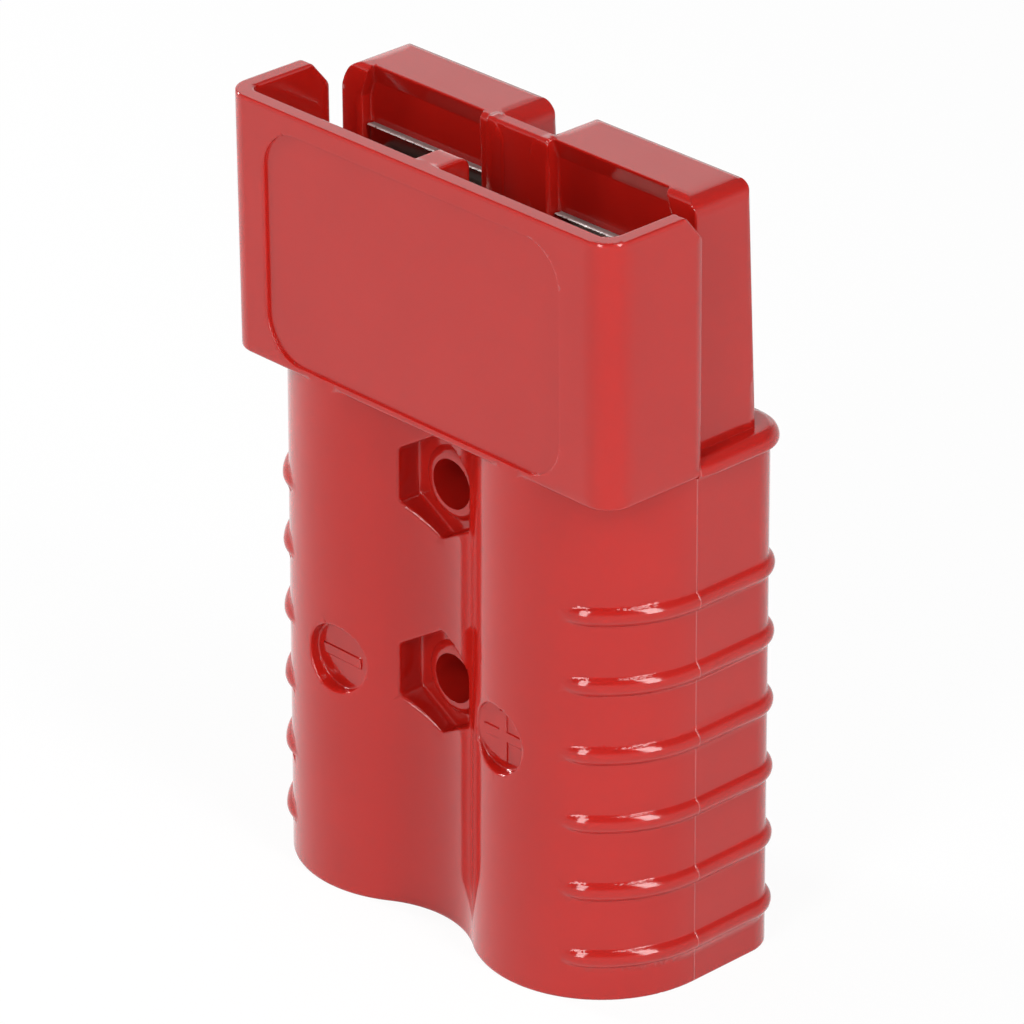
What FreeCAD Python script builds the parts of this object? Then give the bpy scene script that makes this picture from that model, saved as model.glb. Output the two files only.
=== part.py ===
import FreeCAD, Part
import math
import os

# Two-pole genderless power connector, 350 A size class, in millimetres.
# X is the width, +Z points to the mating end, the hood is on the -Y side.
# Y = 0 is the mould parting plane, and a mating connector is this one turned half round X.

# Overall
LENGTH = 108.0
POLE_X = 17.3
MATE_CLEAR = 0.2
SLOT_X = 0.6

# Body around the cable entries
BODY_TOP = 74.3
BARREL_R = 16.95
BARREL_Y = -0.15
FRONT_DRAFT = 0.81
VALLEY_R = 14.6
REAR_Y = 15.8
REAR_CORNER_R = 5.1

# Hood
HOOD_STEP = 0.65
HOOD_FRONT_Y = -16.0
HOOD_BOTTOM = 72.2
HOOD_FLOOR = 73.7
HOOD_WALL = 2.3
HOOD_CORNER_R = 3.8
HOOD_INNER_R = 1.2
HOOD_CHAMFER_Y = 2.8
HOOD_CHAMFER_Z = 3.4
RIM_EDGE = 0.3
KEY_DEPTH = 5.2
KEY_EDGE_R = 0.3
KEY_TIP_R = 1.7

# Label recess on the hood front
LABEL_X = -0.3
LABEL_HALF_X = 26.6
LABEL_LOW = 73.6
LABEL_HIGH = 105.2
LABEL_R = 6.0
LABEL_DEPTH = 0.3

# Rear blocks that carry the springs
BLOCK_FRONT_Y = 1.5
BLOCK_REAR_BASE = 12.3
BLOCK_REAR_TOP = 11.0
BLOCK_TAPER = 0.2
BLOCK_SHOULDER_R = 2.0
BLOCK_WIDE_SHOULDER_R = 4.4
BLOCK_EDGE_R = 1.0
BLOCK_CORNER_R = 1.8
SLOT_HALF_TOP = 2.7
SLOT_HALF_BASE = 2.4
WEB_REAR_Y = 3.4

# Channel for tongue and spring, one per pole
CHANNEL_HALF = 11.1
CHANNEL_FRONT_Y = -2.2
CHANNEL_FLOOR_TOP = 3.5
CHANNEL_FLOOR_LOW = 6.4
CHANNEL_BASE = 44.0
CHANNEL_STEP_LOW = 95.0
CHANNEL_STEP_HIGH = 98.0
CHANNEL_END_FLAT = 105.2
CHANNEL_END_Y = 2.7
CHANNEL_SIDE_BREAK = 103.5
CHANNEL_SIDE_SLOPE = 1.6

# Cable entries
ENTRY_R = 11.9
ENTRY_Y = 0.1
ENTRY_CHAMFER = 1.0

# Shoulder bead round the rear half
BEAD_BOTTOM = 71.95
BEAD_PROUD = 1.15
BEAD_SIDES = 6

# Grip ribs
RIB_COUNT = 6
RIB_FIRST_Z = 6.15
RIB_PITCH = 9.74
RIB_R = 1.45
RIB_SIDES = 6
RIB_SINK = 0.65
RIB_FRONT_X = 30.0
RIB_REAR_X = 23.5
RIB_END_R = 9.0
RIB_DIVE = 42.0

# Mounting holes with hexagon nut pockets
HOLE_R = 3.4
HOLE_Z_LOW = 34.5
HOLE_Z_HIGH = 62.3
NUT_FLATS = 13.4
NUT_FLOOR_Y = -9.0
NUT_BOSS_R = 5.1
NUT_BOSS_TIP_R = 4.3
NUT_BOSS_HEIGHT = 0.7
REAR_SINK_R = 7.0
REAR_SINK_DEPTH = 2.2

# Round pockets for the polarity signs on the barrels
MARK_NEGATIVE_X = -15.4
MARK_POSITIVE_X = 14.9
MARK_Z = 34.0
MARK_R = 4.9
MARK_FLOOR_Y = -14.3

# Contacts
WIRE_R_OUT = 9.5
WIRE_R_IN = 7.75
WIRE_BOTTOM = 7.0
WIRE_TOP = 35.0
WIRE_DEPTH = 27.0
WIRE_END_CONE = 3.9
TONGUE_HALF = 10.0
TONGUE_THICK = 4.0
TONGUE_START = 43.2
TONGUE_TIP = 96.4
TONGUE_CHAMFER = 1.2

# Retention springs
SPRING_HALF = 10.8
SPRING_THICK = 0.8
SPRING_FOOT_TOP = 53.0
SPRING_PAD_LOW = 72.0
SPRING_PAD_HIGH = 83.0
SPRING_SEAT = 97.0
SPRING_TIP_NEGATIVE = 99.5
SPRING_TIP_POSITIVE = 98.0
SPRING_BEND_R = 9.0

# Worked out from the values above
SIDE_X = POLE_X + BARREL_R
HOOD_HALF_X = SIDE_X + HOOD_STEP
HOOD_REACH = HOOD_HALF_X - HOOD_WALL
HOOD_INNER_Y = HOOD_FRONT_Y + HOOD_WALL
KEY_HALF = SLOT_HALF_BASE - MATE_CLEAR

# How far a piece grows into its neighbour, and a tool past what it cuts
ROOT = 1.0
CLOSE = 1e-6


def vec(x, y, z):
    return FreeCAD.Vector(x, y, z)


def box(x0, x1, y0, y1, z0, z1):
    return Part.makeBox(x1 - x0, y1 - y0, z1 - z0, vec(x0, y0, z0))


def prism(points, along):
    wire = Part.makePolygon(points + [points[0]])
    return Part.Face(wire).extrude(along)


def polar(centre, radius, angle, z):
    a = math.radians(angle)
    return vec(centre[0] + radius * math.cos(a), centre[1] + radius * math.sin(a), z)


def arc(centre, radius, start, end, z):
    middle = (start + end) / 2
    ends = polar(centre, radius, start, z), polar(centre, radius, end, z)
    return Part.Arc(ends[0], polar(centre, radius, middle, z), ends[1]).toShape()


def line(a, b):
    return Part.makeLine(a, b)


def mirror_x(shape):
    return shape.mirror(vec(0, 0, 0), vec(1, 0, 0))


def both_sides(shape):
    return [shape, mirror_x(shape)]


def cylinder_y(x, z, radius, y0, y1):
    return Part.makeCylinder(radius, y1 - y0, vec(x, y0, z), vec(0, 1, 0))


def barrel_y(z):
    return BARREL_Y + z * math.tan(math.radians(FRONT_DRAFT))


def front_half():
    # Two barrels and the valley between them, leaning back by the front draft
    reach = BARREL_R + VALLEY_R
    valley_y = BARREL_Y - math.sqrt(reach * reach - POLE_X * POLE_X)
    lean = math.degrees(math.atan2(valley_y - BARREL_Y, -POLE_X)) + 360
    back_y = REAR_Y - REAR_CORNER_R - ROOT
    edges = [
        arc((-POLE_X, BARREL_Y), BARREL_R, 180, 540 - lean, 0),
        arc((0, valley_y), VALLEY_R, 360 - lean, lean - 180, 0),
        arc((POLE_X, BARREL_Y), BARREL_R, lean, 360, 0),
        line(vec(SIDE_X, BARREL_Y, 0), vec(SIDE_X, back_y, 0)),
        line(vec(SIDE_X, back_y, 0), vec(-SIDE_X, back_y, 0)),
        line(vec(-SIDE_X, back_y, 0), vec(-SIDE_X, BARREL_Y, 0)),
    ]
    upright = Part.Face(Part.Wire(edges)).extrude(vec(0, 0, BODY_TOP + 2 * ROOT))
    upright.translate(vec(0, 0, -ROOT))
    upright.rotate(vec(0, 0, 0), vec(1, 0, 0), -FRONT_DRAFT)
    return upright.common(box(-LENGTH, LENGTH, -LENGTH, LENGTH, 0, BODY_TOP))


def rear_half():
    # Flat back with round corners, from the parting plane to the rear
    x = SIDE_X
    r = REAR_CORNER_R
    edges = [
        line(vec(-x, 0, 0), vec(x, 0, 0)),
        line(vec(x, 0, 0), vec(x, REAR_Y - r, 0)),
        arc((x - r, REAR_Y - r), r, 0, 90, 0),
        line(vec(x - r, REAR_Y, 0), vec(r - x, REAR_Y, 0)),
        arc((r - x, REAR_Y - r), r, 90, 180, 0),
        line(vec(-x, REAR_Y - r, 0), vec(-x, 0, 0)),
    ]
    return Part.Face(Part.Wire(edges)).extrude(vec(0, 0, BODY_TOP))


def hood_section(inset, radius, z):
    # Outline of the hood, open side at Y = 0
    x = HOOD_HALF_X - inset
    y = HOOD_FRONT_Y + inset
    edges = [
        line(vec(-x, 0, z), vec(-x, y + radius, z)),
        arc((-x + radius, y + radius), radius, 180, 270, z),
        line(vec(-x + radius, y, z), vec(x - radius, y, z)),
        arc((x - radius, y + radius), radius, 270, 360, z),
        line(vec(x, y + radius, z), vec(x, 0, z)),
        line(vec(x, 0, z), vec(-x, 0, z)),
    ]
    return Part.Wire(edges)


def top_edges(shape, along):
    # Edges of the top face that run along one axis, in order of their place on the other
    found = []
    for edge in shape.Edges:
        level = edge.BoundBox.ZMin > LENGTH - CLOSE
        if level and abs(edge.tangentAt(edge.FirstParameter).dot(along)) > 1 - CLOSE:
            found.append(edge)
    return sorted(found, key=lambda e: e.BoundBox.XMin + e.BoundBox.YMin)


def label_plate():
    # Rounded rectangle that sinks into the hood front
    y0, y1 = HOOD_FRONT_Y - ROOT, HOOD_FRONT_Y + LABEL_DEPTH
    plate = box(LABEL_X - LABEL_HALF_X, LABEL_X + LABEL_HALF_X, y0, y1, LABEL_LOW, LABEL_HIGH)
    corners = [e for e in plate.Edges if e.BoundBox.YLength > y1 - y0 - CLOSE]
    corners = [e for e in corners if e.BoundBox.XLength + e.BoundBox.ZLength < CLOSE]
    return plate.makeFillet(LABEL_R, corners)


def block(slot_shift, outer_r):
    # One rear block on the +X side, common to a front profile, a side profile and a plan
    z0, z1 = HOOD_FLOOR - ROOT, LENGTH
    y0, y1 = BLOCK_FRONT_Y, BLOCK_REAR_BASE + ROOT
    side_base = HOOD_REACH - MATE_CLEAR
    front = [
        vec(SLOT_HALF_BASE + slot_shift, y0, z0),
        vec(side_base, y0, z0),
        vec(side_base - BLOCK_TAPER, y0, z1),
        vec(SLOT_HALF_TOP + slot_shift, y0, z1),
    ]
    side = [
        vec(0, y0, z0),
        vec(0, BLOCK_REAR_BASE, z0),
        vec(0, BLOCK_REAR_TOP, z1),
        vec(0, y0, z1),
    ]
    front = prism(front, vec(0, y1 - y0, 0))
    side = prism(side, vec(HOOD_HALF_X, 0, 0))
    plan = front.common(side)
    rear = [e for e in plan.Edges if e.BoundBox.ZLength > LENGTH - BODY_TOP and e.BoundBox.YMin > y0 + ROOT]
    plan = plan.makeFillet(BLOCK_CORNER_R, rear)
    front = front.makeFillet(BLOCK_SHOULDER_R, top_edges(front, vec(0, 1, 0))[:1])
    front = front.makeFillet(outer_r, top_edges(front, vec(0, 1, 0))[-1:])
    side = side.makeFillet(BLOCK_EDGE_R, top_edges(side, vec(1, 0, 0)))
    return plan.common(front).common(side)


def web():
    # Thin wall between the blocks, behind which the mate's key rib slides
    half = SLOT_HALF_TOP + BLOCK_SHOULDER_R + ROOT / 2
    x0, x1 = SLOT_X - half, SLOT_X + half
    wall = box(x0, x1, BLOCK_FRONT_Y, WEB_REAR_Y, HOOD_FLOOR - ROOT, LENGTH)
    return wall.makeFillet(BLOCK_EDGE_R, top_edges(wall, vec(1, 0, 0))[:1])


def key():
    # Rib on the inner hood front that fits the slot between the mate's blocks
    tip_y = HOOD_INNER_Y + KEY_DEPTH
    rib_box = box(SLOT_X - KEY_HALF, SLOT_X + KEY_HALF, HOOD_INNER_Y - ROOT, tip_y, HOOD_FLOOR - ROOT, LENGTH)
    rib_box = rib_box.makeFillet(KEY_TIP_R, top_edges(rib_box, vec(1, 0, 0))[-1:])
    edges = [e for e in rib_box.Edges if e.BoundBox.ZLength > KEY_DEPTH and e.BoundBox.YMin > HOOD_INNER_Y]
    return rib_box.makeFillet(KEY_EDGE_R, edges)


def channel():
    # Room for one tongue and spring on the +X side, shallower towards its open upper end
    x0, x1 = POLE_X - CHANNEL_HALF, POLE_X + CHANNEL_HALF
    top = LENGTH + ROOT
    side = [
        vec(x0, CHANNEL_FRONT_Y, CHANNEL_BASE),
        vec(x0, CHANNEL_FLOOR_LOW, CHANNEL_BASE),
        vec(x0, CHANNEL_FLOOR_LOW, CHANNEL_STEP_LOW),
        vec(x0, CHANNEL_FLOOR_TOP, CHANNEL_STEP_HIGH),
        vec(x0, CHANNEL_FLOOR_TOP, CHANNEL_END_FLAT),
        vec(x0, CHANNEL_END_Y, LENGTH),
        vec(x0, CHANNEL_END_Y, top),
        vec(x0, CHANNEL_FRONT_Y, top),
    ]
    deep = prism(side, vec(x1 - x0, 0, 0))
    front = [
        vec(x0, CHANNEL_FRONT_Y, CHANNEL_BASE),
        vec(x1, CHANNEL_FRONT_Y, CHANNEL_BASE),
        vec(x1, CHANNEL_FRONT_Y, CHANNEL_SIDE_BREAK),
        vec(x1 - CHANNEL_SIDE_SLOPE, CHANNEL_FRONT_Y, LENGTH),
        vec(x1 - CHANNEL_SIDE_SLOPE, CHANNEL_FRONT_Y, top),
        vec(x0, CHANNEL_FRONT_Y, top),
    ]
    depth = CHANNEL_FLOOR_LOW - CHANNEL_FRONT_Y
    return deep.common(prism(front, vec(0, depth, 0)))


def half_round(radius, sides, root):
    # Flat-sided half round that faces outwards, as (out, up) pairs, closed behind by a root
    points = [(-root, -radius)]
    for i in range(sides + 1):
        a = math.radians(-90 + 180 * i / sides)
        points.append((radius * math.cos(a), radius * math.sin(a)))
    return points + [(-root, radius)]


def section_face(section, hub, radius, angle, z):
    points = [polar(hub, radius + out, angle, z + up) for out, up in section]
    return Part.Face(Part.makePolygon(points + [points[0]]))


def bent_bar(section, hub, radius, start, end, z):
    face = section_face(section, hub, radius, start, z)
    return face.revolve(vec(hub[0], hub[1], z), vec(0, 0, 1), end - start)


def straight_bar(section, hub, radius, angle, length, z):
    a = math.radians(angle + 90)
    face = section_face(section, hub, radius, angle, z)
    return face.extrude(vec(length * math.cos(a), length * math.sin(a), 0))


def rib(z):
    # A low round rib on the +X side that dives into the barrel in front and into the flat behind
    section = half_round(RIB_R, RIB_SIDES, ROOT / 2)
    hub = (POLE_X, barrel_y(z))
    r = BARREL_R - RIB_SINK
    corner_r = REAR_CORNER_R - RIB_SINK
    corner = (POLE_X + r - corner_r, REAR_Y - RIB_SINK - corner_r)
    start = -math.degrees(math.acos((RIB_FRONT_X - POLE_X) / r))
    front_hub = polar(hub, r - RIB_END_R, start, z)
    rear_hub = (RIB_REAR_X, REAR_Y - RIB_SINK - RIB_END_R)
    bars = [
        bent_bar(section, (front_hub.x, front_hub.y), RIB_END_R, start - RIB_DIVE, start, z),
        bent_bar(section, hub, r, start, 0, z),
        straight_bar(section, hub, r, 0, corner[1] - hub[1], z),
        bent_bar(section, corner, corner_r, 0, 90, z),
        straight_bar(section, corner, corner_r, 90, corner[0] - RIB_REAR_X, z),
        bent_bar(section, rear_hub, RIB_END_R, 90, 90 + RIB_DIVE, z),
    ]
    return bars[0].multiFuse(bars[1:]).removeSplitter()


def bead():
    # Shoulder bead round the rear half, flush with the top of the body
    half = (BODY_TOP - BEAD_BOTTOM) / 2
    section = [(out - half + BEAD_PROUD, up) for out, up in half_round(half, BEAD_SIDES, ROOT)]
    corner = (SIDE_X - REAR_CORNER_R, REAR_Y - REAR_CORNER_R)
    z = BODY_TOP - half
    side = straight_bar(section, (corner[0], 0), REAR_CORNER_R, 0, corner[1], z)
    bend = bent_bar(section, corner, REAR_CORNER_R, 0, 90, z)
    back = straight_bar(section, corner, REAR_CORNER_R, 90, 2 * corner[0], z)
    return back.multiFuse(both_sides(side) + both_sides(bend)).removeSplitter()


def hexagon(z, y0, y1):
    r = NUT_FLATS / math.sqrt(3)
    points = []
    for i in range(6):
        a = math.radians(60 * i + 30)
        points.append(vec(r * math.cos(a), y0, z + r * math.sin(a)))
    return prism(points, vec(0, y1 - y0, 0))


def hood_shell():
    # Outer form of the hood with a broken rim and the lead-in cut off its open side
    hood = Part.Face(hood_section(0, HOOD_CORNER_R, HOOD_BOTTOM))
    hood = hood.extrude(vec(0, 0, LENGTH - HOOD_BOTTOM))
    rim = [e for e in hood.Edges if e.BoundBox.ZMin > LENGTH - CLOSE and e.BoundBox.YMin < -CLOSE]
    hood = hood.makeChamfer(RIM_EDGE, rim)
    lead_in = [
        vec(-LENGTH, 0, LENGTH - HOOD_CHAMFER_Z),
        vec(-LENGTH, 0, LENGTH),
        vec(-LENGTH, -HOOD_CHAMFER_Y, LENGTH),
    ]
    return hood.cut(prism(lead_in, vec(2 * LENGTH, 0, 0)))


def mounting_cuts(z):
    # Hexagon pocket with a low boss in front, through hole, round counterbore behind
    front_y = HOOD_FRONT_Y - ROOT
    pocket = hexagon(z, front_y, NUT_FLOOR_Y)
    boss_y = NUT_FLOOR_Y - NUT_BOSS_HEIGHT
    boss = Part.makeCone(NUT_BOSS_TIP_R, NUT_BOSS_R, NUT_BOSS_HEIGHT, vec(0, boss_y, z), vec(0, 1, 0))
    return [
        pocket.cut(boss),
        cylinder_y(0, z, HOLE_R, front_y, REAR_Y + ROOT),
        cylinder_y(0, z, REAR_SINK_R, REAR_Y - REAR_SINK_DEPTH, REAR_Y + ROOT),
    ]


def make_housing():
    solid = front_half().fuse(rear_half()).fuse(bead()).fuse(hood_shell())
    inner = Part.Face(hood_section(HOOD_WALL, HOOD_INNER_R, HOOD_FLOOR))
    solid = solid.cut(inner.extrude(vec(0, 0, LENGTH)))
    solid = solid.cut(box(-HOOD_REACH, HOOD_REACH, -ROOT, BLOCK_FRONT_Y, HOOD_FLOOR, LENGTH))

    pieces = [web(), key()]
    pieces.append(block(SLOT_X, BLOCK_SHOULDER_R))
    pieces.append(mirror_x(block(-SLOT_X, BLOCK_WIDE_SHOULDER_R)))
    for i in range(RIB_COUNT):
        pieces += both_sides(rib(RIB_FIRST_Z + i * RIB_PITCH))
    solid = solid.multiFuse(pieces)

    entry = Part.makeCylinder(ENTRY_R, CHANNEL_BASE, vec(POLE_X, ENTRY_Y, 0))
    mouth = Part.makeCone(ENTRY_R + ENTRY_CHAMFER, ENTRY_R, ENTRY_CHAMFER, vec(POLE_X, ENTRY_Y, 0))
    cuts = [label_plate()]
    for tool in (channel(), entry, mouth):
        cuts += both_sides(tool)
    for z in (HOLE_Z_LOW, HOLE_Z_HIGH):
        cuts += mounting_cuts(z)
    for x in (MARK_NEGATIVE_X, MARK_POSITIVE_X):
        cuts.append(cylinder_y(x, MARK_Z, MARK_R, HOOD_FRONT_Y - 2 * ROOT, MARK_FLOOR_Y))
    return solid.cut(cuts).removeSplitter()


def make_contact():
    # On the +X side: wire barrel, flattened neck and flat tongue
    centre = vec(POLE_X, ENTRY_Y, 0)
    barrel = Part.makeCylinder(WIRE_R_OUT, WIRE_TOP - WIRE_BOTTOM, centre + vec(0, 0, WIRE_BOTTOM))
    x0, x1 = POLE_X - TONGUE_HALF, POLE_X + TONGUE_HALF
    y0, y1 = CHANNEL_FRONT_Y, CHANNEL_FRONT_Y + TONGUE_THICK
    squeeze = [
        vec(x0 - ROOT, ENTRY_Y - WIRE_R_OUT, WIRE_TOP),
        vec(x0 - ROOT, ENTRY_Y + WIRE_R_OUT, WIRE_TOP),
        vec(x0 - ROOT, y1, TONGUE_START),
        vec(x0 - ROOT, y0, TONGUE_START),
    ]
    neck = Part.makeCone(WIRE_R_OUT, TONGUE_HALF, TONGUE_START - WIRE_TOP, centre + vec(0, 0, WIRE_TOP))
    neck = neck.common(prism(squeeze, vec(x1 - x0 + 2 * ROOT, 0, 0)))
    tongue = box(x0, x1, y0, y1, TONGUE_START, TONGUE_TIP)
    tip = [e for e in tongue.Edges if e.BoundBox.ZMin > TONGUE_TIP - CLOSE and e.BoundBox.XLength > CLOSE]
    tongue = tongue.makeChamfer(TONGUE_CHAMFER, tip)
    contact = barrel.fuse(neck).fuse(tongue)
    bore = Part.makeCylinder(WIRE_R_IN, WIRE_DEPTH, centre + vec(0, 0, WIRE_BOTTOM))
    cone = Part.makeCone(WIRE_R_IN, 0, WIRE_END_CONE, centre + vec(0, 0, WIRE_BOTTOM + WIRE_DEPTH))
    return contact.cut(bore.fuse(cone)).removeSplitter()


def bent_strip(points, bends, thick, x0, x1):
    # Sheet strip along a path in the YZ plane, with round bends
    def shifted(side):
        rows = []
        for i, (y, z) in enumerate(points):
            before = points[i - 1] if i else None
            after = points[i + 1] if i + 1 < len(points) else None
            normals = []
            for a, b in ((before, (y, z)), ((y, z), after)):
                if a is None or b is None:
                    continue
                length = math.hypot(b[0] - a[0], b[1] - a[1])
                normals.append(((b[1] - a[1]) / length, -(b[0] - a[0]) / length))
            if len(normals) == 1:
                ny, nz = normals[0]
            else:
                dot = normals[0][0] * normals[1][0] + normals[0][1] * normals[1][1]
                ny = (normals[0][0] + normals[1][0]) / (1 + dot)
                nz = (normals[0][1] + normals[1][1]) / (1 + dot)
            rows.append(vec(x0, y + side * ny * thick / 2, z + side * nz * thick / 2))
        return rows

    outline = shifted(1) + shifted(-1)[::-1]
    strip = prism(outline, vec(x1 - x0, 0, 0))
    inner = []
    for edge in strip.Edges:
        a, b = edge.Vertexes[0].Point, edge.Vertexes[-1].Point
        along = abs(a.y - b.y) < CLOSE and abs(a.z - b.z) < CLOSE
        at_end = min(abs(a.z - points[0][1]), abs(a.z - points[-1][1])) < CLOSE
        if along and not at_end:
            inner.append(edge)
    return strip.makeFillet(bends, inner)


def make_spring(tip_z):
    # On the +X side: foot on the low floor, pad behind the tongue, tip near the upper floor
    half = SPRING_THICK / 2
    foot_y = CHANNEL_FLOOR_LOW - half
    pad_y = CHANNEL_FRONT_Y + TONGUE_THICK + half
    tip_y = CHANNEL_FLOOR_TOP - half
    path = [
        (foot_y, CHANNEL_BASE),
        (foot_y, SPRING_FOOT_TOP),
        (pad_y, SPRING_PAD_LOW),
        (pad_y, SPRING_PAD_HIGH),
        (tip_y, SPRING_SEAT),
        (tip_y, tip_z),
    ]
    return bent_strip(path, SPRING_BEND_R, SPRING_THICK, POLE_X - SPRING_HALF, POLE_X + SPRING_HALF)


def save(shape, name):
    if shape.ShapeType != "Solid" and len(shape.Solids) == 1:
        shape = shape.Solids[0]
    shape.exportStep("parts/" + name + ".step")
    size = shape.BoundBox
    print(name, shape.ShapeType, shape.isValid(), round(shape.Volume), size)


os.makedirs("parts", exist_ok=True)
contact = make_contact()
save(make_housing(), "housing")
save(contact, "contact_positive")
save(mirror_x(contact), "contact_negative")
save(make_spring(SPRING_TIP_POSITIVE), "spring_positive")
save(mirror_x(make_spring(SPRING_TIP_NEGATIVE)), "spring_negative")
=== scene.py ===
import math

import bpy
import numpy as np
import openvdb
from mathutils import Matrix, Vector


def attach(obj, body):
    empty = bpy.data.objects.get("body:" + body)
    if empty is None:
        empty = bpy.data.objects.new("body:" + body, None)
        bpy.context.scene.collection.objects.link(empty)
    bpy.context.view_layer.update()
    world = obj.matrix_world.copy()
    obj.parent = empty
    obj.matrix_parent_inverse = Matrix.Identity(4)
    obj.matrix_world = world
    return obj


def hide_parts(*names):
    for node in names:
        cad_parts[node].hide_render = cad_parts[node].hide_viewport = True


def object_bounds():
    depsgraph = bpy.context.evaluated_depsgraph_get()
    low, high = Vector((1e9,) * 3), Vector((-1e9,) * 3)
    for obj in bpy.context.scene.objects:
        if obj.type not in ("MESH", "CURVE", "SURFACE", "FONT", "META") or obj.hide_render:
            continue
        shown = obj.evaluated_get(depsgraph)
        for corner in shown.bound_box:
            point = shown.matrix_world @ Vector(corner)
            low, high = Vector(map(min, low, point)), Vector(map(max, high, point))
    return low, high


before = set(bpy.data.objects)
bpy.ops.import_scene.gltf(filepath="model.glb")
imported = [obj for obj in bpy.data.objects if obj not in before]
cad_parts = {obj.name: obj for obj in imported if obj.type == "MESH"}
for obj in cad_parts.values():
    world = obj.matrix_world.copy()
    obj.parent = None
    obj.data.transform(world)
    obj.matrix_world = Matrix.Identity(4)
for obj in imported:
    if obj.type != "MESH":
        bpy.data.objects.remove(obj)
cad_box = [list(corner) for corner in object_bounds()]
scene = bpy.context.scene
scene.view_settings.view_transform = "Standard"

# Camera, solved from the photograph
CAMERA_AZIMUTH = 46.811
CAMERA_ELEVATION = 26.601
CAMERA_ROLL = -0.4386
CAMERA_DISTANCE = 0.824793
CAMERA_TARGET = (0.000814, 0.0, 0.055282)
CAMERA_LENS = 227.09
CAMERA_SENSOR = 36.0

# The moulded shell is worked out as a distance field in millimetres
MM = 0.001
VOXEL = 0.25
MARGIN = 1.2
BAND = 1.5
MERGE = 0.04
SLAB = 40
HOLD = 0.1
CREASE = 0.9976
INSET = 0.07

# Reach of the four samples that give the field's direction, as shares of a voxel
FINE = 0.1
FINE_OWN = 1 / 12
FINE_SMOOTH = 0.25
TETRA = np.array([(1, -1, -1), (-1, -1, 1), (-1, 1, -1), (1, 1, 1)])

# Body, barrels and rear
LENGTH = 108.0
POLE_X = 17.3
SIDE_X = 34.25
BODY_TOP = 74.3
BARREL_R = 16.95
BARREL_Y = -0.15
VALLEY_R = 14.6
DRAFT = math.tan(math.radians(0.81))
REAR_Y = 15.8
REAR_CORNER_R = 5.1
BOTTOM_EDGE_R = 0.35
LEDGE_EDGE_R = 0.4

# Shoulder bead and grip ribs
BEAD_LOW = 71.95
BEAD_PROUD = 1.15
BEAD_TOP_R = 1.7
BEAD_LOW_R = 0.6
BEAD_FRONT_Y = -0.3
BEAD_RISE = 3.0
RIB_COUNT = 6
RIB_FIRST_Z = 6.15
RIB_PITCH = 9.74
RIB_R = 1.45
RIB_SINK = 0.65
RIB_FRONT_X = 28.1
RIB_REAR_X = 23.5
RIB_FRONT_END_R = 6.0
RIB_REAR_END_R = 9.0
RIB_FOOT_R = 0.15

# Hood
HOOD_STEP = 0.65
HOOD_HALF_X = 34.9
HOOD_FRONT_Y = -16.0
HOOD_BOTTOM = 72.2
HOOD_FLOOR = 73.7
HOOD_WALL = 2.3
HOOD_CORNER_R = 3.8
HOOD_INNER_R = 1.8
HOOD_FLOOR_R = 0.8
HOOD_UNDER_R = 0.6
RIM_R = 0.25
LEAD_IN_Y = 2.8
LEAD_IN_Z = 3.4
LEAD_IN_R = 0.35
KEY_HALF = 2.2
KEY_DEPTH = 5.2
KEY_EDGE_R = 0.3
KEY_TIP_R = 1.7
LABEL_X = -0.55
LABEL_HALF_X = 26.85
LABEL_LOW = 73.3
LABEL_HIGH = 105.2
LABEL_R = 6.0
LABEL_DEPTH = 0.4
LABEL_EDGE_R = 0.1

# Rear blocks, web and channels
SLOT_X = 0.6
SLOT_HALF_TOP = 2.7
SLOT_HALF_BASE = 2.4
BLOCK_BASE_X = 32.4
BLOCK_TAPER = 0.2
BLOCK_FRONT_Y = 1.5
BLOCK_REAR_BASE = 12.3
BLOCK_REAR_TOP = 11.0
SHOULDER_R = 2.4
SLOT_SHOULDER_R = 3.0
WIDE_SHOULDER_R = 3.8
WIDE_SHOULDER_STRETCH = 1.7
BLOCK_EDGE_R = 1.0
BLOCK_CORNER_R = 0.7
BLOCK_BACK_EDGE_R = 0.5
WEB_REAR_Y = 3.4
WEB_HALF = 5.2
WEB_EDGE_R = 0.5
SLOT_CORNER_R = 0.5
CHANNEL_HALF = 11.1
CHANNEL_BASE = 44.0
CHANNEL_FRONT_Y = -2.2
CHANNEL_FLOOR_TOP = 3.5
CHANNEL_FLOOR_LOW = 6.4
CHANNEL_STEP_LOW = 95.0
CHANNEL_STEP_HIGH = 98.0
CHANNEL_END_FLAT = 105.2
CHANNEL_END_Y = 2.45
CHANNEL_SIDE_BREAK = 103.5
CHANNEL_SIDE_SLOPE = 1.6
CHANNEL_EDGE_R = 0.5
CHANNEL_TOP_EDGE_R = 0.12

# Torn upper edges of the springs
SPRING_HALF = 10.8
SPRING_TIPS = {-1: ("lip_negative", 99.5), 1: ("lip_positive", 98.0)}
LIP_FRONT_Y = 2.3
LIP_HIGH = 0.25
LIP_BURR = 0.12
LIP_SHAKE = 0.012
LIP_STEPS = 160
LIP_SEED = 7

# Cable entries and mounting holes
ENTRY_R = 11.9
ENTRY_Y = 0.1
ENTRY_EDGE_R = 1.0
HOLE_R = 3.4
HOLE_Z = (34.5, 62.3)
NUT_FLATS = 12.7
NUT_X = -0.35
NUT_FLOOR_Y = -9.0
NUT_EDGE_R = 0.35
NUT_BOSS_R = 5.1
NUT_BOSS_TIP_R = 4.3
NUT_BOSS_HEIGHT = 0.7
REAR_SINK_R = 7.0
REAR_SINK_DEPTH = 2.2

# Round pockets with raised polarity signs
MARK_NEGATIVE_X = -15.4
MARK_POSITIVE_X = 14.9
MARK_Z = 34.0
MARK_R = 4.75
MARK_FLOOR_Y = -14.9
MARK_EDGE_R = 0.25
SIGN_Y = -15.1
SIGN_REACH = 3.5
SIGN_HALF = 0.65

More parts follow.
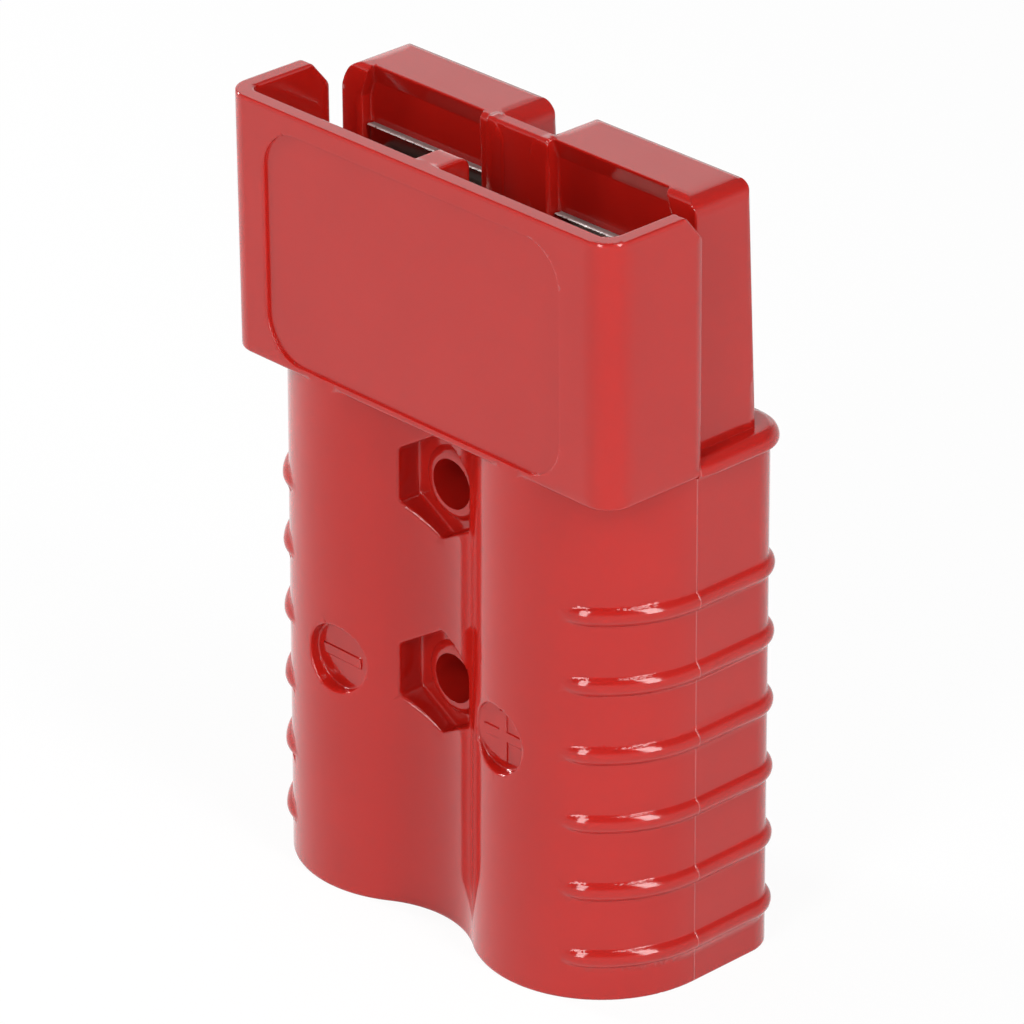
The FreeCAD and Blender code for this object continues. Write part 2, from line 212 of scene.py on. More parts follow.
# Colours and surface of the plastic; scales per millimetre, heights in millimetres
RED_DEEP = (0.38, 0.008, 0.005, 1)
RED_CLEAR = (0.43, 0.011, 0.007, 1)
RED_PALE = (0.80, 0.42, 0.40, 1)
PLASTIC_ROUGH = 0.06
LABEL_ROUGH = 0.12
DUST_SCALE = 0.09
GRAIN_CORE = 0.008
GRAIN_RIM = 0.022
GRAIN_SHARE = 0.5
FIBRE_SCALE = 0.35
FIBRE_WIDTH = 0.006
FIBRE_REACH = 0.13
FIBRE_SHARE = 0.75
DUST_TINT = 0.3
SEAM_CORE = 0.03
SEAM_RIM = 0.16
SEAM_TINT = 0.12
SEAM_HEIGHT = 0.035
SEAM_MARGIN = 0.3
LABEL_LOOK_HALF = 15.9
CLOUD_SCALE = 0.06
CLOUD_DETAIL = 1.0
SMEAR_SCALE = 0.5
SMEAR_DETAIL = 2.0
SMEAR_ROUGH = 0.08
FINE_PEEL_SCALE = 2.2
FINE_PEEL_HEIGHT = 0.0025
WIDE_PEEL_SCALE = 0.14
WIDE_PEEL_HEIGHT = 0.03
GLOW_SHARE = 0.25
GLOW_TINT = (1.0, 0.2, 0.1)
GLOW_REACH = 1.5

# Springs, contacts and paper
TORN_DARK = (0.34, 0.31, 0.30, 1)
TORN_PALE = (0.62, 0.57, 0.55, 1)
TORN_SCALE = 2.5
TORN_DETAIL = 4.0
TORN_REACH = 0.4
TORN_FRONT_Y = 2.85
TORN_HEIGHT = 0.05
TORN_FACING = 0.6
TORN_DULL = 0.6
TORN_ROUGH = 0.3
STEEL_DARK = (0.30, 0.29, 0.28, 1)
STEEL_PALE = (0.42, 0.40, 0.38, 1)
STEEL_ROUGH = 0.12
STEEL_ROUGH_VARIES = 0.12
STEEL_HEIGHT = 0.004
BRUSH_STRETCH = (0.25, 4.0, 4.0)
BRUSH_DETAIL = 4.0
# Contact silver tones: their low level is painted shade for the contacts' place deep inside the
# hood, and the spread between them is tarnish
SHADED_SILVER_PALE = (0.34, 0.32, 0.30, 1)
SHADED_SILVER_DARK = (0.24, 0.22, 0.19, 1)
SILVER_SCALE = 0.25
SILVER_DETAIL = 5.0
SILVER_ROUGH = 0.3
SILVER_ROUGH_VARIES = 0.3
SILVER_HEIGHT = 0.006
PAPER_DARK = (0.88, 0.88, 0.88, 1)
PAPER_PALE = (0.92, 0.92, 0.92, 1)
PAPER_SCALE = 1.5
PAPER_DETAIL = 4.0
PAPER_ROUGH = 0.85
PAPER_ROUGH_VARIES = 0.1
PAPER_SHINE = 0.1
PAPER_HEIGHT = 0.02

# Studio: name, azimuth, elevation, distance, size and power of each lamp
WORLD_LEVEL = 0.15
SKY_FADE_LOW = 0.1
SKY_FADE_HIGH = 0.6
SKY_HIGH_LEVEL = 0.25
FLOOR_HALF = 3.0
FLOOR_GLOW = 0.93
LAMPS = (
    ("softbox_front", 18, 30, 0.7, (0.17, 0.60), 2.9),
    ("softbox_right", 84, 30, 0.7, (0.15, 0.60), 2.9),
    ("key_left", -76, 24, 0.7, (0.10, 0.20), 3.0),
    ("overhead", 90, 66, 0.8, (0.27, 0.12), 0.8),
    ("panel_back", -133, 27, 0.9, (0.9, 0.6), 1.1),
)


def union(a, b, r=0.0):
    # Joins two fields with a fillet of radius r
    u = np.maximum(r - a, 0)
    v = np.maximum(r - b, 0)
    return np.maximum(r, np.minimum(a, b)) - np.sqrt(u * u + v * v)


def common(a, b, r=0.0):
    # Keeps what is in both fields, with an edge rounded to radius r
    u = np.maximum(r + a, 0)
    v = np.maximum(r + b, 0)
    return np.minimum(-r, np.maximum(a, b)) + np.sqrt(u * u + v * v)


def cut(a, b, r=0.0):
    return common(a, -b, r)


def ramp(z, z0, v0, z1, v1):
    return v0 + (z - z0) * (v1 - v0) / (z1 - z0)


def front_outline(ax, y):
    # Distance to the two barrels and the valley between them, in plan
    valley_y = BARREL_Y - math.sqrt((BARREL_R + VALLEY_R) ** 2 - POLE_X ** 2)
    barrel = np.hypot(ax - POLE_X, y - BARREL_Y) - BARREL_R
    valley = VALLEY_R - np.hypot(ax, y - valley_y)
    inside = POLE_X * (y - valley_y) > ax * (BARREL_Y - valley_y)
    return np.where(inside, valley, barrel)


def rear_outline(ax, y, inset=0.0):
    return common(ax - SIDE_X + inset, y - REAR_Y + inset, REAR_CORNER_R - inset)


def body_outline(ax, y, lean_y):
    return np.where(lean_y < BARREL_Y, front_outline(ax, lean_y), rear_outline(ax, y))


def rib_path(ax, y, lean_y):
    # Distance from the centre line of a rib, which dives into the wall at both its ends
    r = BARREL_R - RIB_SINK
    start = math.acos((RIB_FRONT_X - POLE_X) / r)
    sx, sy = math.cos(start), -math.sin(start)
    px, py = ax - POLE_X, lean_y - BARREL_Y
    side = np.where(py < 0, np.hypot(px, py) - r, rear_outline(ax, y, RIB_SINK))
    dive_x, dive_y = (r - RIB_FRONT_END_R) * sx, (r - RIB_FRONT_END_R) * sy
    front = np.hypot(px - dive_x, py - dive_y) - RIB_FRONT_END_R
    side = np.where(px * sy - py * sx > 0, front, side)
    hub_y = REAR_Y - RIB_SINK - RIB_REAR_END_R
    rear = np.hypot(ax - RIB_REAR_X, y - hub_y) - RIB_REAR_END_R
    side = np.where((ax < RIB_REAR_X) & (y > 0), rear, side)
    return np.where(ax < POLE_X - RIB_REAR_END_R, 2 * BAND, side)


def body_field(x, y, z):
    ax = np.abs(x)
    lean_y = y - DRAFT * z
    outline = body_outline(ax, y, lean_y)
    body = common(outline, -z, BOTTOM_EDGE_R)
    body = common(body, z - BODY_TOP, LEDGE_EDGE_R)
    row = np.clip(np.round((z - RIB_FIRST_Z) / RIB_PITCH), 0, RIB_COUNT - 1)
    ribs = np.hypot(rib_path(ax, y, lean_y), z - RIB_FIRST_Z - row * RIB_PITCH) - RIB_R
    body = union(body, ribs, RIB_FOOT_R)
    rise = np.clip(y / BEAD_RISE, 0, 1)
    proud = HOOD_STEP + (BEAD_PROUD - HOOD_STEP) * rise * (2 - rise)
    bead = common(rear_outline(ax, y) - proud, z - BODY_TOP, BEAD_TOP_R)
    bead = common(common(bead, BEAD_LOW - z, BEAD_LOW_R), BEAD_FRONT_Y - y)
    return union(body, bead, RIB_FOOT_R)


def hood_field(x, y, z):
    ax = np.abs(x)
    hood = common(ax - HOOD_HALF_X, HOOD_FRONT_Y - y, HOOD_CORNER_R)
    hood = common(hood, z - LENGTH, RIM_R)
    hood = common(hood, HOOD_BOTTOM - z, HOOD_UNDER_R)
    span = math.hypot(LEAD_IN_Y, LEAD_IN_Z)
    lead_in = (y * LEAD_IN_Z + (z - LENGTH + LEAD_IN_Z) * LEAD_IN_Y) / span
    open_side = common(y, lead_in, LEAD_IN_R)
    return common(hood, open_side, RIM_R)


def cavity_field(x, y, z):
    ax = np.abs(x)
    room = common(ax - HOOD_HALF_X + HOOD_WALL, HOOD_FRONT_Y + HOOD_WALL - y, HOOD_INNER_R)
    room = common(room, HOOD_FLOOR - z, HOOD_FLOOR_R)
    room = common(room, y - BLOCK_FRONT_Y)
    inner_y = HOOD_FRONT_Y + HOOD_WALL
    tip = common(y - inner_y - KEY_DEPTH, z - LENGTH, KEY_TIP_R)
    key = common(np.abs(x - SLOT_X) - KEY_HALF, tip, KEY_EDGE_R)
    return cut(room, key, KEY_EDGE_R / 2)


def block_field(x, y, z):
    # Two blocks with rounded shoulders and the web that joins them
    right = x > SLOT_X
    wall_x = ramp(z, HOOD_FLOOR, BLOCK_BASE_X, LENGTH, BLOCK_BASE_X - BLOCK_TAPER)
    side = np.where(right, x, -x) - wall_x
    slot = ramp(z, HOOD_FLOOR, SLOT_HALF_BASE, LENGTH, SLOT_HALF_TOP) - np.abs(x - SLOT_X)
    rear = y - ramp(z, HOOD_FLOOR, BLOCK_REAR_BASE, LENGTH, BLOCK_REAR_TOP)
    front = BLOCK_FRONT_Y - y
    top = z - LENGTH
    field = common(common(side, rear, BLOCK_CORNER_R), common(slot, rear, BLOCK_CORNER_R))
    wide = common(side, top / WIDE_SHOULDER_STRETCH, WIDE_SHOULDER_R)
    outer = np.where(right, common(side, top, SHOULDER_R), wide)
    field = common(field, common(outer, common(slot, top, SLOT_SHOULDER_R)))
    back_edge = common(rear, top, BLOCK_BACK_EDGE_R)
    front_edge = common(front, top, BLOCK_EDGE_R)
    field = common(field, common(back_edge, front_edge))
    field = common(field, common(side, front, CHANNEL_EDGE_R))
    web = common(np.abs(x - SLOT_X) - WEB_HALF, y - WEB_REAR_Y, CHANNEL_EDGE_R)
    web = common(web, common(front, top, WEB_EDGE_R))
    field = union(field, web, SLOT_CORNER_R)
    return common(field, HOOD_FLOOR - 1 - z)


def channel_field(x, y, z):
    ax = np.abs(x) - POLE_X
    deep = CHANNEL_FLOOR_LOW - CHANNEL_FLOOR_TOP
    tall = CHANNEL_STEP_HIGH - CHANNEL_STEP_LOW
    rise = deep / math.hypot(deep, tall)
    run = tall / math.hypot(deep, tall)
    step = (y - CHANNEL_FLOOR_TOP) * run + (z - CHANNEL_STEP_HIGH) * rise
    low = common(y - CHANNEL_FLOOR_LOW, step)
    floor = union(low, y - CHANNEL_FLOOR_TOP)
    lift = math.hypot(CHANNEL_FLOOR_TOP - CHANNEL_END_Y, LENGTH - CHANNEL_END_FLAT)
    end = (y - CHANNEL_FLOOR_TOP) * (LENGTH - CHANNEL_END_FLAT) / lift
    end = end + (z - CHANNEL_END_FLAT) * (CHANNEL_FLOOR_TOP - CHANNEL_END_Y) / lift
    floor = common(floor, end)
    outer = ax - CHANNEL_HALF
    bend = math.hypot(CHANNEL_SIDE_SLOPE, LENGTH - CHANNEL_SIDE_BREAK)
    tilt = outer * (LENGTH - CHANNEL_SIDE_BREAK) / bend
    tilt = tilt + (z - CHANNEL_SIDE_BREAK) * CHANNEL_SIDE_SLOPE / bend
    outer = common(outer, tilt)
    walls = common(outer, -CHANNEL_HALF - ax)
    room = common(floor, walls, CHANNEL_EDGE_R)
    return common(room, common(CHANNEL_FRONT_Y - y, CHANNEL_BASE - z))


def mounting_field(x, y, z):
    # Hexagon pocket with a low boss, through hole and round counterbore at each height
    holes = None
    for hole_z in HOLE_Z:
        up = z - hole_z
        across = x - NUT_X
        flats = np.abs(across) - NUT_FLATS / 2
        for turn in (60, 120):
            a = math.radians(turn)
            flat = np.abs(across * math.cos(a) + up * math.sin(a)) - NUT_FLATS / 2
            flats = common(flats, flat, NUT_EDGE_R)
        pocket = common(flats, y - NUT_FLOOR_Y, NUT_EDGE_R)
        reach = np.hypot(x, up)
        tip_y = NUT_FLOOR_Y - NUT_BOSS_HEIGHT
        boss = reach - ramp(y, NUT_FLOOR_Y, NUT_BOSS_R, tip_y, NUT_BOSS_TIP_R)
        boss = common(boss, tip_y - y, NUT_EDGE_R)
        pocket = cut(pocket, boss)
        sink = common(reach - REAR_SINK_R, REAR_Y - REAR_SINK_DEPTH - y)
        hole = union(union(pocket, reach - HOLE_R), sink)
        holes = hole if holes is None else union(holes, hole)
    return holes


def label_field(x, y, z):
    middle = (LABEL_LOW + LABEL_HIGH) / 2
    half = (LABEL_HIGH - LABEL_LOW) / 2
    plate = common(np.abs(x - LABEL_X) - LABEL_HALF_X, np.abs(z - middle) - half, LABEL_R)
    return common(plate, y - HOOD_FRONT_Y - LABEL_DEPTH)


def mark_field(x, y, z):
    # Round pocket on each barrel with a raised minus or plus sign on its floor
    right = x > 0
    across = np.where(right, x - MARK_POSITIVE_X, x - MARK_NEGATIVE_X)
    up = z - MARK_Z
    pocket = common(np.hypot(across, up) - MARK_R, y - MARK_FLOOR_Y, MARK_EDGE_R)
    dash = common(np.abs(across) - SIGN_REACH, np.abs(up) - SIGN_HALF)
    upright = common(np.abs(up) - SIGN_REACH, np.abs(across) - SIGN_HALF)
    sign = np.where(right, np.minimum(dash, upright), dash)
    return cut(pocket, common(sign, SIGN_Y - y))


def shell_field(x, y, z):
    solid = union(body_field(x, y, z), hood_field(x, y, z))
    solid = cut(solid, cavity_field(x, y, z), RIM_R)
    solid = union(solid, block_field(x, y, z))
    fade = np.clip((z - CHANNEL_SIDE_BREAK) / 2, 0, 1)
    edge = CHANNEL_EDGE_R + (CHANNEL_TOP_EDGE_R - CHANNEL_EDGE_R) * fade
    solid = cut(solid, channel_field(x, y, z), edge)
    entry = common(np.hypot(np.abs(x) - POLE_X, y - ENTRY_Y) - ENTRY_R, z - CHANNEL_BASE)
    solid = cut(solid, entry, ENTRY_EDGE_R)
    solid = cut(solid, mounting_field(x, y, z), NUT_EDGE_R)
    solid = cut(solid, label_field(x, y, z), LABEL_EDGE_R)
    return cut(solid, mark_field(x, y, z), MARK_EDGE_R)


def slope(points, reach):
    # Direction in which the field grows, from four samples round each point
    total = sum(k * shell_field(*(points + reach * k).T)[:, None] for k in TETRA)
    return total / np.maximum(np.linalg.norm(total, axis=1, keepdims=True), 1e-9)


def settle(points, step):
    # Moves each vertex to where the faces round it meet, so that edges stay crisp
    planes = []
    levels = []
    for corner in np.ndindex(2, 2, 2):
        near = points + (np.array(corner) - 0.5) * step
        value = shell_field(*near.T)[:, None]
        normal = slope(near, step * FINE)
        planes.append(normal)
        levels.append(np.sum(normal * (near - value * normal - points), axis=1))
    planes = np.stack(planes, axis=1)
    pull = np.einsum("nij,nik->njk", planes, planes) + HOLD * np.eye(3)
    push = np.einsum("nij,ni->nj", planes, np.stack(levels, axis=1))
    move = np.linalg.solve(pull, push[..., None])[..., 0]
    length = np.linalg.norm(move, axis=1, keepdims=True)
    points = points + move * np.minimum(1, step / np.maximum(length, 1e-9))
    value = shell_field(*points.T)[:, None]
    return points - np.clip(value, -step, step) * slope(points, step * FINE)


def corner_normals(points, quads, tris, step):
    # Normal at each face corner, taken from the face's own side where an edge is sharp
    corners = np.concatenate([quads.ravel(), tris.ravel()])
    middle = [points[faces].mean(axis=1).repeat(faces.shape[1], axis=0)
              for faces in (quads, tris)]
    place = points[corners]
    inward = np.concatenate(middle) - place
    length = np.maximum(np.linalg.norm(inward, axis=1, keepdims=True), 3 * INSET)
    own = slope(place + inward * INSET / length, step * FINE_OWN)
    smooth = slope(points, step * FINE_SMOOTH)[corners]
    crisp = np.sum(own * smooth, axis=1, keepdims=True) < CREASE
    return np.where(crisp, own, smooth)


def make_shell(material):
    step = VOXEL
    low, high = (np.array(corner) / MM for corner in cad_box)
    origin = low - MARGIN
    counts = np.ceil((high - low + 2 * MARGIN) / step).astype(int)
    x, y, z = np.ogrid[0:counts[0], 0:counts[1], 0:counts[2]]
    x = (origin[0] + x * step).astype(np.float32)
    y = (origin[1] + y * step).astype(np.float32)
    z = (origin[2] + z * step).astype(np.float32)
    field = np.empty(counts)
    for start in range(0, counts[2], SLAB):
        slab = shell_field(x, y, z[:, :, start:start + SLAB])
        field[:, :, start:start + SLAB] = np.clip(slab, -BAND, BAND)
    grid = openvdb.FloatGrid(background=BAND)
    grid.copyFromArray(field, tolerance=0.0)
    points, tris, quads = grid.convertToPolygons(isovalue=0.0, adaptivity=MERGE)
    points = np.clip(settle(origin + points * step, step), low, high)
    normals = corner_normals(points, quads, tris, step)
    mesh = bpy.data.meshes.new("shell")
    mesh.from_pydata((points * MM).tolist(), [], quads.tolist() + tris.tolist())
    mesh.update()
    mesh.polygons.foreach_set("use_smooth", [True] * len(mesh.polygons))
    mesh.normals_split_custom_set(normals.tolist())
    shell = bpy.data.objects.new("shell", mesh)
    scene.collection.objects.link(shell)
    mesh.materials.append(material)
    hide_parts("housing")
    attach(shell, "root")


def make_lip(name, side, tip_z, material):
    # Burred lip along the sheared upper edge of one spring
    random = np.random.default_rng(LIP_SEED + side)
    x = np.linspace(-SPRING_HALF, SPRING_HALF, LIP_STEPS) + side * POLE_X
    back_y = CHANNEL_FLOOR_TOP - LIP_BURR
    profile = [(LIP_FRONT_Y, -LIP_HIGH), (LIP_FRONT_Y, 0), (LIP_FRONT_Y + LIP_BURR, LIP_BURR)]
    profile += [(back_y, 0), (back_y, -LIP_HIGH)]
    rows = []
    for y, z in profile:
        shake = random.normal(0, LIP_SHAKE, (2, LIP_STEPS))
        rows.append(np.stack([x, y + shake[0], tip_z + z + shake[1]], axis=1))
    points = np.concatenate(rows)
    count = len(profile)
    faces = []
    for row in range(count):
        a, b = row * LIP_STEPS, (row + 1) % count * LIP_STEPS
        faces += [(a + i, b + i, b + i + 1, a + i + 1) for i in range(LIP_STEPS - 1)]
    faces.append([row * LIP_STEPS for row in range(count)][::-1])
    faces.append([(row + 1) * LIP_STEPS - 1 for row in range(count)])
    mesh = bpy.data.meshes.new(name)
    mesh.from_pydata((points * MM).tolist(), [], faces)
    mesh.update()
    mesh.materials.append(material)
    lip = bpy.data.objects.new(name, mesh)
    scene.collection.objects.link(lip)
    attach(lip, "root")


def make_camera():
    a, e, r = (math.radians(v) for v in (CAMERA_AZIMUTH, CAMERA_ELEVATION, CAMERA_ROLL))
    back = Vector((math.sin(a) * math.cos(e), -math.cos(a) * math.cos(e), math.sin(e)))
    right = (-back).cross(Vector((0, 0, 1))).normalized()
    up = right.cross(-back)
    side = right * math.cos(r) + up * math.sin(r)
    top = up * math.cos(r) - right * math.sin(r)
    data = bpy.data.cameras.new("camera")
    data.lens = CAMERA_LENS
    data.sensor_width = CAMERA_SENSOR
    camera = bpy.data.objects.new("camera", data)
    scene.collection.objects.link(camera)
    place = Vector(CAMERA_TARGET) + back * CAMERA_DISTANCE
    turn = Matrix((side, top, back)).transposed()
    camera.matrix_world = Matrix.Translation(place) @ turn.to_4x4()
    scene.camera = camera


def new_material(name):
    material = bpy.data.materials.new(name)
    material.use_nodes = True
    return material, material.node_tree, material.node_tree.nodes["Principled BSDF"]


def feed(tree, socket, value):
    if isinstance(value, bpy.types.NodeSocket):
        tree.links.new(value, socket)
    else:
        socket.default_value = value


def add(tree, kind, inputs, **settings):
    made = tree.nodes.new(kind)
    for name, value in settings.items():
        setattr(made, name, value)
    for name, value in inputs.items():
        feed(tree, made.inputs[name], value)
    return made


def calc(tree, operation, *values):
    made = tree.nodes.new("ShaderNodeMath")
    made.operation = operation
    for socket, value in zip(made.inputs, values):
        feed(tree, socket, value)
    return made.outputs[0]


def millimetres(tree):
    place = tree.nodes.new("ShaderNodeTexCoord").outputs["Object"]
    inputs = {0: place, "Scale": 1 / MM}
    return add(tree, "ShaderNodeVectorMath", inputs, operation="SCALE").outputs[0]


def noise(tree, place, scale, detail):
    inputs = {"Vector": place, "Scale": scale, "Detail": detail}
    return add(tree, "ShaderNodeTexNoise", inputs).outputs["Fac"]


def blend(tree, factor, first, second):
    made = add(tree, "ShaderNodeMix", {0: factor}, data_type="RGBA")
    feed(tree, made.inputs[6], first)
    feed(tree, made.inputs[7], second)
    return made.outputs[2]


def soft_step(tree, value, low, high):
    inputs = {"Value": value, "From Min": low, "From Max": high}
    return add(tree, "ShaderNodeMapRange", inputs, interpolation_type="SMOOTHSTEP").outputs[0]


def set_bump(tree, shader, height):
    # Height in millimetres
    bump = add(tree, "ShaderNodeBump", {"Height": height, "Distance": MM})
    tree.links.new(bump.outputs[0], shader.inputs["Normal"])


def dust_field(tree, place):
    # Small grains and short curled fibres in a few cells only
    cells = add(tree, "ShaderNodeTexVoronoi", {"Vector": place, "Scale": DUST_SCALE})
    pick = add(tree, "ShaderNodeSeparateColor", {"Color": cells.outputs["Color"]})
    near = cells.outputs["Distance"]
    grain = calc(tree, "SUBTRACT", 1.0, soft_step(tree, near, GRAIN_CORE, GRAIN_RIM))
    grain = calc(tree, "MULTIPLY", grain, calc(tree, "GREATER_THAN", pick.outputs[0], GRAIN_SHARE))
    curl = calc(tree, "SUBTRACT", noise(tree, place, FIBRE_SCALE, 0.0), 0.5)
    away = soft_step(tree, calc(tree, "ABSOLUTE", curl), 0.0, FIBRE_WIDTH)
    fibre = calc(tree, "SUBTRACT", 1.0, away)
    inside = calc(tree, "LESS_THAN", near, FIBRE_REACH)
    chosen = calc(tree, "GREATER_THAN", pick.outputs[1], FIBRE_SHARE)
    fibre = calc(tree, "MULTIPLY", fibre, calc(tree, "MULTIPLY", inside, chosen))
    return calc(tree, "MAXIMUM", grain, fibre)


def parting_line(tree, x, y, z):
    # Thin seam where the mould halves met, on both outer sides below the hood
    away = soft_step(tree, calc(tree, "ABSOLUTE", y), SEAM_CORE, SEAM_RIM)
    line = calc(tree, "SUBTRACT", 1.0, away)
    outer = calc(tree, "GREATER_THAN", calc(tree, "ABSOLUTE", x), SIDE_X - SEAM_MARGIN)
    below = calc(tree, "LESS_THAN", z, BODY_TOP)
    return calc(tree, "MULTIPLY", line, calc(tree, "MULTIPLY", outer, below))


def plastic():
    material, tree, shader = new_material("red_plastic")
    place = millimetres(tree)
    axes = add(tree, "ShaderNodeSeparateXYZ", {0: place})
    x, y, z = axes.outputs
    label = calc(tree, "COMPARE", y, HOOD_FRONT_Y + LABEL_DEPTH, LABEL_DEPTH / 2)
    inside = calc(tree, "COMPARE", z, (LABEL_LOW + LABEL_HIGH) / 2, LABEL_LOOK_HALF)
    label = calc(tree, "MULTIPLY", label, inside)
    cloud = noise(tree, place, CLOUD_SCALE, CLOUD_DETAIL)
    colour = blend(tree, cloud, RED_DEEP, RED_CLEAR)
    dust = dust_field(tree, place)
    seam = parting_line(tree, x, y, z)
    dusty = calc(tree, "MULTIPLY", dust, DUST_TINT)
    pale = calc(tree, "MAXIMUM", dusty, calc(tree, "MULTIPLY", seam, SEAM_TINT))
    feed(tree, shader.inputs["Base Color"], blend(tree, pale, colour, RED_PALE))
    smear = noise(tree, place, SMEAR_SCALE, SMEAR_DETAIL)
    rough = calc(tree, "MULTIPLY_ADD", smear, SMEAR_ROUGH, PLASTIC_ROUGH)
    rough = calc(tree, "MULTIPLY_ADD", label, LABEL_ROUGH, rough)
    feed(tree, shader.inputs["Roughness"], rough)
    fine = noise(tree, place, FINE_PEEL_SCALE, 0.0)
    wide = noise(tree, place, WIDE_PEEL_SCALE, 0.0)
    height = calc(tree, "MULTIPLY", fine, FINE_PEEL_HEIGHT)
    height = calc(tree, "MULTIPLY_ADD", wide, WIDE_PEEL_HEIGHT, height)
    height = calc(tree, "MULTIPLY_ADD", seam, SEAM_HEIGHT, height)
    set_bump(tree, shader, height)
    shader.subsurface_method = "BURLEY"
    shader.inputs["Subsurface Weight"].default_value = GLOW_SHARE
    shader.inputs["Subsurface Radius"].default_value = GLOW_TINT
    shader.inputs["Subsurface Scale"].default_value = GLOW_REACH * MM
    return material


def brushed(tree, place):
    # Fine lines along the width of the strip
    inputs = {0: place, 1: BRUSH_STRETCH}
    stretch = add(tree, "ShaderNodeVectorMath", inputs, operation="MULTIPLY")
    return noise(tree, stretch.outputs[0], 1.0, BRUSH_DETAIL)


def spring_steel():
    # Smooth strip with a bright, torn upper edge where it was sheared
    material, tree, shader = new_material("spring_steel")
    place = millimetres(tree)
    y = add(tree, "ShaderNodeSeparateXYZ", {0: place}).outputs[1]
    normal = tree.nodes.new("ShaderNodeNewGeometry").outputs["Normal"]
    facing = add(tree, "ShaderNodeSeparateXYZ", {0: normal}).outputs[2]
    edge = calc(tree, "GREATER_THAN", facing, TORN_FACING)
    lines = brushed(tree, place)
    torn = noise(tree, place, TORN_SCALE, TORN_DETAIL)
    depth = calc(tree, "MULTIPLY_ADD", torn, TORN_REACH, y)
    front = calc(tree, "LESS_THAN", depth, TORN_FRONT_Y)
    sheared = blend(tree, front, TORN_DARK, TORN_PALE)
    face = blend(tree, lines, STEEL_DARK, STEEL_PALE)
    feed(tree, shader.inputs["Base Color"], blend(tree, edge, face, sheared))
    feed(tree, shader.inputs["Metallic"], calc(tree, "MULTIPLY_ADD", edge, -TORN_DULL, 1.0))
    rough = calc(tree, "MULTIPLY_ADD", lines, STEEL_ROUGH_VARIES, STEEL_ROUGH)
    rough = calc(tree, "MULTIPLY_ADD", edge, TORN_ROUGH, rough)
    feed(tree, shader.inputs["Roughness"], rough)
    height = calc(tree, "MULTIPLY", lines, STEEL_HEIGHT)
    burr = calc(tree, "MULTIPLY", edge, torn)
    height = calc(tree, "MULTIPLY_ADD", burr, TORN_HEIGHT, height)
    set_bump(tree, shader, height)
    return material


def contact_silver():
    material, tree, shader = new_material("contact_silver")
    place = millimetres(tree)
    # Noise blends the two tones as tarnish; the dark level of both tones is painted shade
    tarnish = noise(tree, place, SILVER_SCALE, SILVER_DETAIL)
    colour = blend(tree, tarnish, SHADED_SILVER_PALE, SHADED_SILVER_DARK)
    feed(tree, shader.inputs["Base Color"], colour)
    shader.inputs["Metallic"].default_value = 1.0
    rough = calc(tree, "MULTIPLY_ADD", tarnish, SILVER_ROUGH_VARIES, SILVER_ROUGH)
    feed(tree, shader.inputs["Roughness"], rough)
    height = calc(tree, "MULTIPLY", brushed(tree, place), SILVER_HEIGHT)
    set_bump(tree, shader, height)
    return material


def seen_ray(tree):
    # 1 for rays from the camera and for mirror and glass rays, else 0
    path = tree.nodes.new("ShaderNodeLightPath")
    seen = calc(tree, "MAXIMUM", path.outputs["Is Camera Ray"], path.outputs["Is Glossy Ray"])
    return calc(tree, "MAXIMUM", seen, path.outputs["Is Transmission Ray"])


def make_world():
    world = bpy.data.worlds.new("studio")
    world.use_nodes = True
    tree = world.node_tree
    dim = tree.nodes["Background"]
    dim.inputs["Color"].default_value = (1, 1, 1, 1)
    dim.inputs["Strength"].default_value = WORLD_LEVEL
    # The seen sky is white round the horizon and dimmer overhead, as in a studio
    direction = tree.nodes.new("ShaderNodeTexCoord").outputs["Generated"]
    way = add(tree, "ShaderNodeSeparateXYZ", {0: direction})
    fade = soft_step(tree, way.outputs[2], SKY_FADE_LOW, SKY_FADE_HIGH)
    sky = calc(tree, "MULTIPLY_ADD", fade, SKY_HIGH_LEVEL - 1.0, 1.0)
    seen = add(tree, "ShaderNodeBackground", {"Color": (1, 1, 1, 1), "Strength": sky})
    inputs = {0: seen_ray(tree), 1: dim.outputs[0], 2: seen.outputs[0]}
    mix = add(tree, "ShaderNodeMixShader", inputs)
    tree.links.new(mix.outputs[0], tree.nodes["World Output"].inputs["Surface"])
    scene.world = world


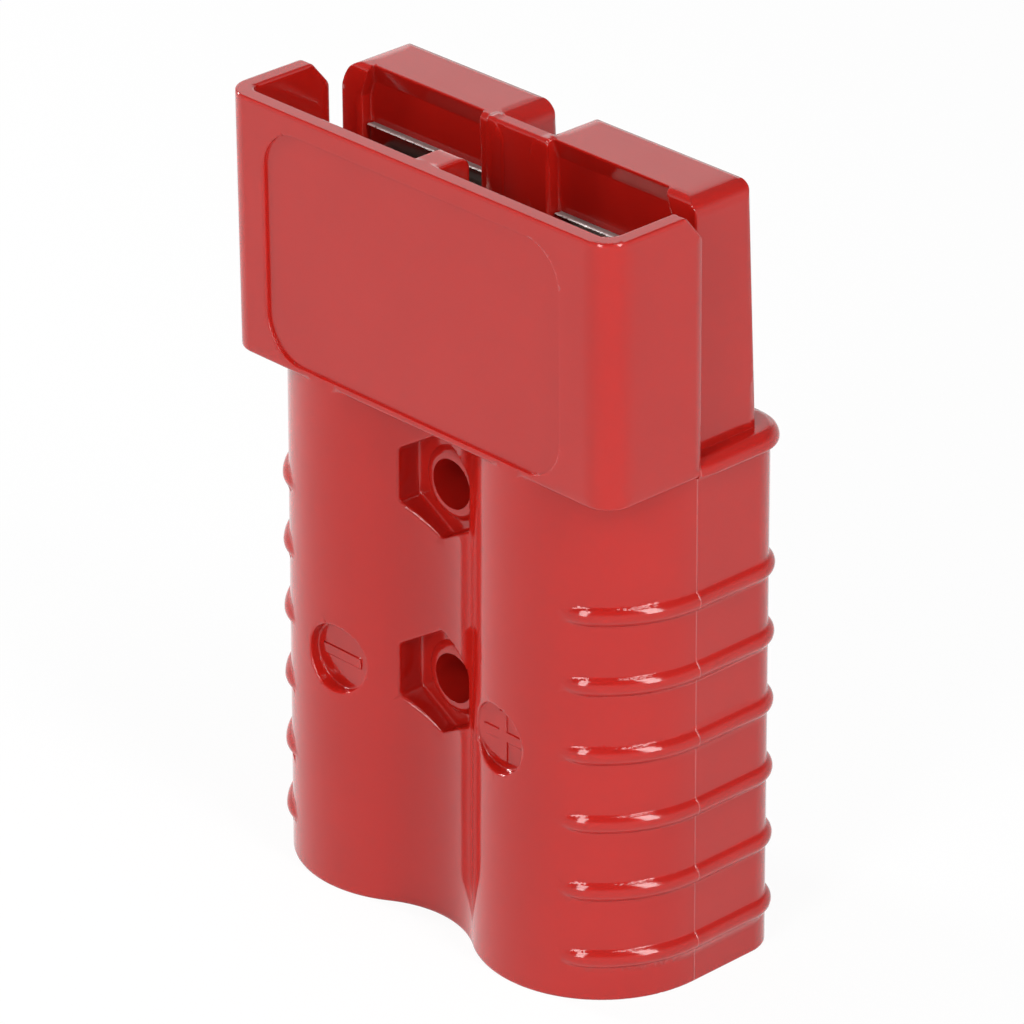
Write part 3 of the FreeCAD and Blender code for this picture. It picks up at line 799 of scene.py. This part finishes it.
def make_floor():
    mesh = bpy.data.meshes.new("floor")
    s = FLOOR_HALF
    mesh.from_pydata([(-s, -s, 0), (s, -s, 0), (s, s, 0), (-s, s, 0)], [], [(0, 1, 2, 3)])
    floor = bpy.data.objects.new("floor", mesh)
    scene.collection.objects.link(floor)
    material, tree, shader = new_material("paper")
    place = millimetres(tree)
    fibres = noise(tree, place, PAPER_SCALE, PAPER_DETAIL)
    feed(tree, shader.inputs["Base Color"], blend(tree, fibres, PAPER_DARK, PAPER_PALE))
    rough = calc(tree, "MULTIPLY_ADD", fibres, PAPER_ROUGH_VARIES, PAPER_ROUGH)
    feed(tree, shader.inputs["Roughness"], rough)
    shader.inputs["Specular IOR Level"].default_value = PAPER_SHINE
    set_bump(tree, shader, calc(tree, "MULTIPLY", fibres, PAPER_HEIGHT))
    glow = add(tree, "ShaderNodeEmission", {"Strength": 1.0})
    share = calc(tree, "MULTIPLY", seen_ray(tree), FLOOR_GLOW)
    mix = add(tree, "ShaderNodeMixShader", {0: share, 1: shader.outputs[0], 2: glow.outputs[0]})
    tree.links.new(mix.outputs[0], tree.nodes["Material Output"].inputs["Surface"])
    mesh.materials.append(material)


def area_light(name, azimuth, elevation, reach, size, power):
    # Soft panel that faces the object, at angles measured as for the camera
    a, e = math.radians(azimuth), math.radians(elevation)
    back = Vector((math.sin(a) * math.cos(e), -math.cos(a) * math.cos(e), math.sin(e)))
    data = bpy.data.lights.new(name, "AREA")
    data.shape = "RECTANGLE"
    data.size, data.size_y = size
    data.energy = power
    lamp = bpy.data.objects.new(name, data)
    lamp.location = Vector(CAMERA_TARGET) + back * reach
    lamp.rotation_mode = "QUATERNION"
    lamp.rotation_quaternion = back.to_track_quat("Z", "Y")
    scene.collection.objects.link(lamp)


make_camera()
make_world()
make_floor()
for lamp in LAMPS:
    area_light(*lamp)
red = plastic()
steel = spring_steel()
looks = {"housing": red, "contact": contact_silver(), "spring": steel}
for name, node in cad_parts.items():
    node.data.materials.clear()
    node.data.materials.append(looks[name.split("_")[0]])
make_shell(red)
for side, (name, tip_z) in SPRING_TIPS.items():
    make_lip(name, side, tip_z, steel)
